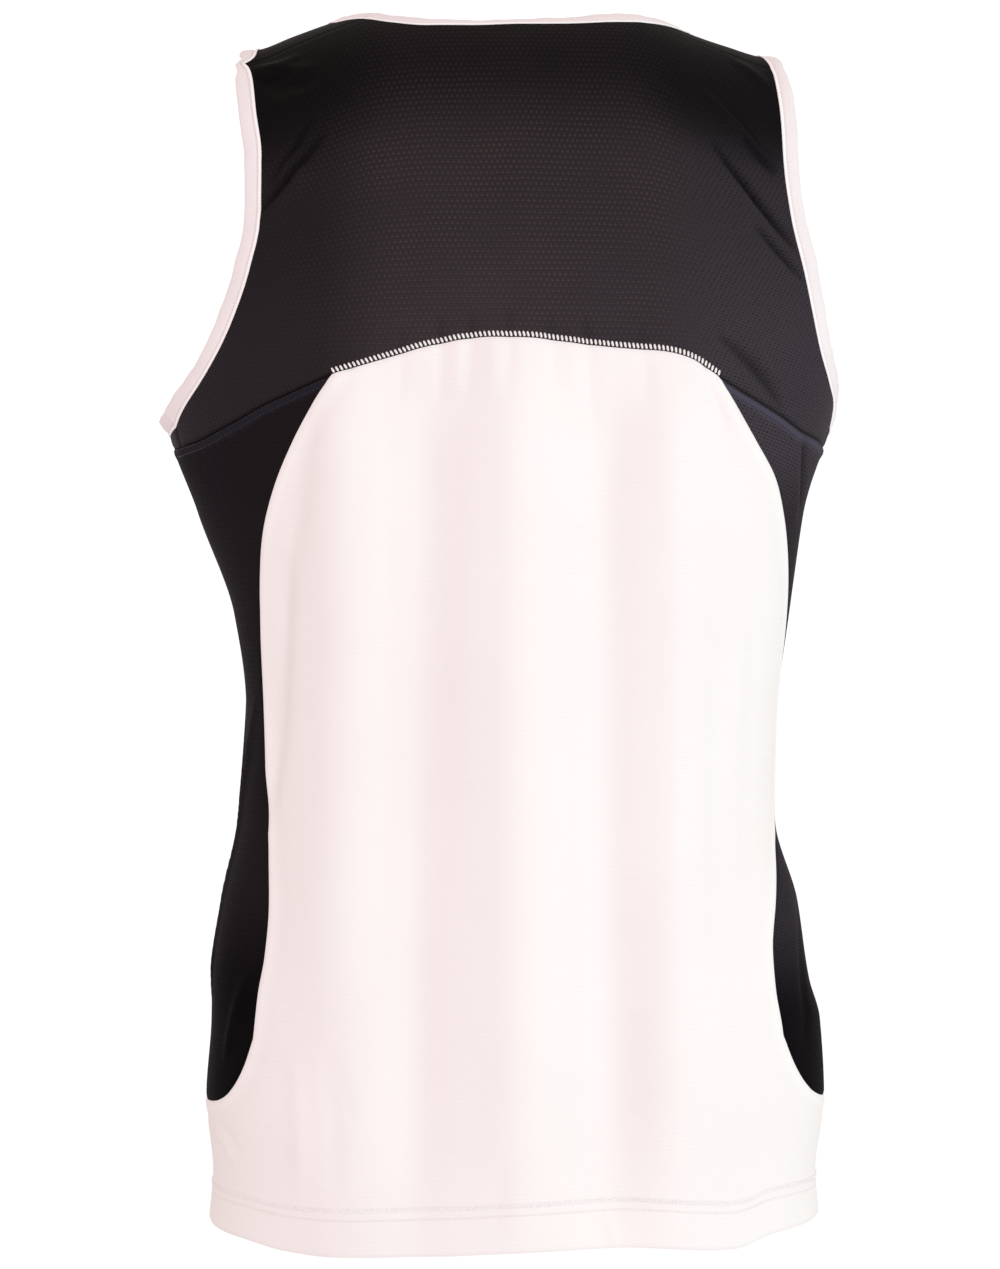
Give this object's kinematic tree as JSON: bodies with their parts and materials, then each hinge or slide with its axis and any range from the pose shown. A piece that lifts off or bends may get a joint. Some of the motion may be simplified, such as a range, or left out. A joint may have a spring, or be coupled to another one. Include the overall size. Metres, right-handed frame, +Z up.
{
  "type": "running singlet",
  "caption": "Sleeveless running top in its worn, hollow form, with mesh yokes and side panels, plain knitted body panels and bound neck and armholes.",
  "frame": {"origin": "midway between the shoulders, level with the top of a shoulder that has no slope; the highest part, the neck edge, reaches to 7 mm below it", "axes": "+Z up along the wearer's spine, +Y out of the back of the garment, +X towards the wearer's left"},
  "size_m": [0.4011, 0.2365, 0.72],
  "materials": {
    "black_mesh": "matt black birdseye mesh knit",
    "white_knit": "white knit with fine level ribs",
    "white_binding": "smooth white folded binding"
  },
  "bodies": {
    "root": {"back_yoke": "black_mesh", "front_yoke": "black_mesh", "side_panel_left": "black_mesh", "side_panel_right": "black_mesh", "back_panel": "white_knit", "front_panel": "white_knit", "neck_binding": "white_binding", "armhole_binding_left": "white_binding", "armhole_binding_right": "white_binding"}
  },
  "joints": []
}
